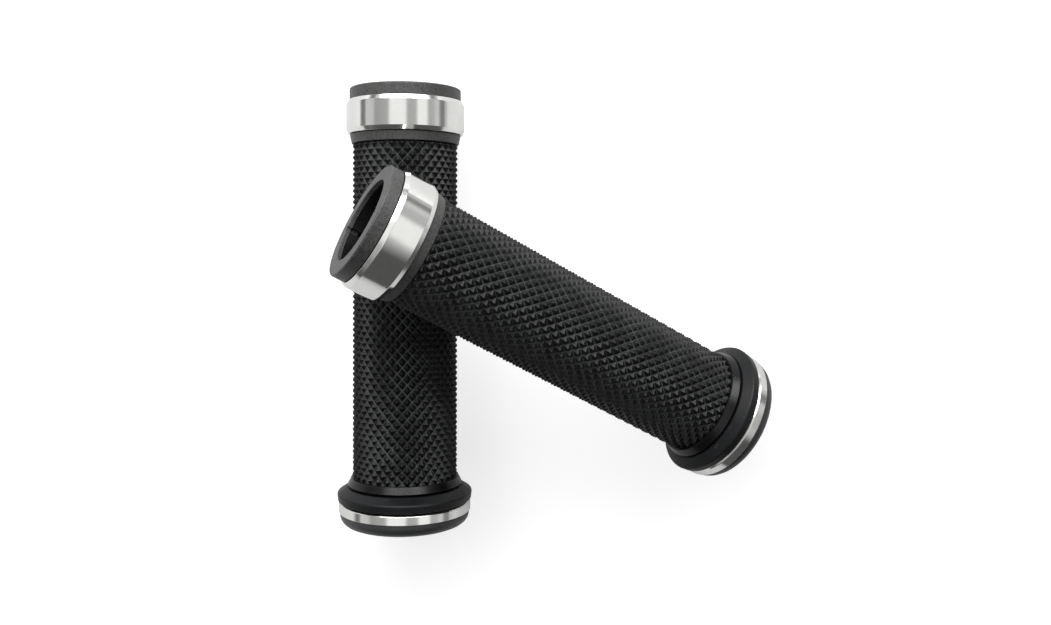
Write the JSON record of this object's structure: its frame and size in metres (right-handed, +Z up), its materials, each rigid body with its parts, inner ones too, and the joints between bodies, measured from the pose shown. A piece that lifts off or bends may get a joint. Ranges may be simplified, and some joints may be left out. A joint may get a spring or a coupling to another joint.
{
  "type": "bicycle handlebar grips with end plugs",
  "caption": "Knurled rubber bicycle handlebar grips, each with a polished clamp band at the open end and a flanged, domed expanding end plug, one lying across the other.",
  "frame": {"origin": "on the table under the middle of the pair", "axes": "+Z up from the table; the lower grip lies along Y with its open end towards +Y; the upper grip runs towards +X and its open end leans on the lower one"},
  "size_m": [0.1238, 0.1256, 0.0679],
  "materials": {
    "core_nylon": "glass-filled black nylon, moulded",
    "collar_nylon": "satin moulded black nylon",
    "polished_aluminium": "turned and polished, bevelled edges",
    "black_steel": "black oxide, oiled",
    "grip_rubber": "moulded rubber with pyramid knurling",
    "flange_rubber": "smooth satin moulded rubber",
    "cap_plastic": "satin moulded black plastic",
    "expander_nylon": "black nylon fingers",
    "wedge_alloy": "plain turned aluminium"
  },
  "bodies": {
    "lower_grip": {"lower_core_tube": "core_nylon", "lower_end_collar": "collar_nylon", "lower_clamp_band": "polished_aluminium", "lower_spacer_ring": "collar_nylon", "lower_grip_sleeve": "grip_rubber", "lower_outer_flange": "flange_rubber"},
    "lower_clamp_screw": {"lower_clamp_screw": "black_steel"},
    "lower_plug": {"lower_trim_ring": "polished_aluminium", "lower_end_cap": "cap_plastic", "lower_expander_sleeve": "expander_nylon"},
    "lower_wedge": {"lower_wedge_nut": "wedge_alloy"},
    "lower_plug_bolt": {"lower_plug_bolt": "black_steel"},
    "upper_grip": {"upper_core_tube": "core_nylon", "upper_end_collar": "collar_nylon", "upper_clamp_band": "polished_aluminium", "upper_spacer_ring": "collar_nylon", "upper_grip_sleeve": "grip_rubber", "upper_outer_flange": "flange_rubber"},
    "upper_clamp_screw": {"upper_clamp_screw": "black_steel"},
    "upper_plug": {"upper_trim_ring": "polished_aluminium", "upper_end_cap": "cap_plastic", "upper_expander_sleeve": "expander_nylon"},
    "upper_wedge": {"upper_wedge_nut": "wedge_alloy"},
    "upper_plug_bolt": {"upper_plug_bolt": "black_steel"}
  },
  "joints": [
    {"name": "upper_grip_lift", "type": "slide", "parent": "lower_grip", "child": "upper_grip", "axis": [0, 0, 1], "range_m": [0, 0.1]},
    {"name": "lower_clamp_screw_turn", "type": "hinge", "parent": "lower_grip", "child": "lower_clamp_screw", "pos_m": [-0.02889, 0.05388, 0.00727], "axis": [0.8192, -0.0136, -0.5734], "range_deg": [0, 720]},
    {"name": "lower_plug_pull", "type": "slide", "parent": "lower_grip", "child": "lower_plug", "axis": [0, -0.9997, 0.0236], "range_m": [0, 0.04]},
    {"name": "lower_plug_bolt_turn", "type": "hinge", "parent": "lower_plug", "child": "lower_plug_bolt", "pos_m": [-0.04269, -0.06194, 0.01967], "axis": [0, 0.9997, -0.0236], "range_deg": [0, 1080]},
    {"name": "lower_wedge_draw", "type": "slide", "parent": "lower_plug", "child": "lower_wedge", "axis": [0, -0.9997, 0.0236], "range_m": [0, 0.0024]},
    {"name": "upper_clamp_screw_turn", "type": "hinge", "parent": "upper_grip", "child": "upper_clamp_screw", "pos_m": [-0.03815, 0.03556, 0.0444], "axis": [0.3598, 0.8613, -0.3588], "range_deg": [0, 720]},
    {"name": "upper_plug_pull", "type": "slide", "parent": "upper_grip", "child": "upper_plug", "axis": [0.8352, -0.4687, -0.2877], "range_m": [0, 0.04]},
    {"name": "upper_plug_bolt_turn", "type": "hinge", "parent": "upper_plug", "child": "upper_plug_bolt", "pos_m": [0.05273, -0.03336, 0.01705], "axis": [-0.8352, 0.4687, 0.2877], "range_deg": [0, 1080]},
    {"name": "upper_wedge_draw", "type": "slide", "parent": "upper_plug", "child": "upper_wedge", "axis": [0.8352, -0.4687, -0.2877], "range_m": [0, 0.0024]}
  ],
  "couplings": [
    {"joint": "lower_plug_bolt_turn", "follows": "lower_wedge_draw", "rad_per_m": 7854},
    {"joint": "upper_plug_bolt_turn", "follows": "upper_wedge_draw", "rad_per_m": 7854}
  ]
}
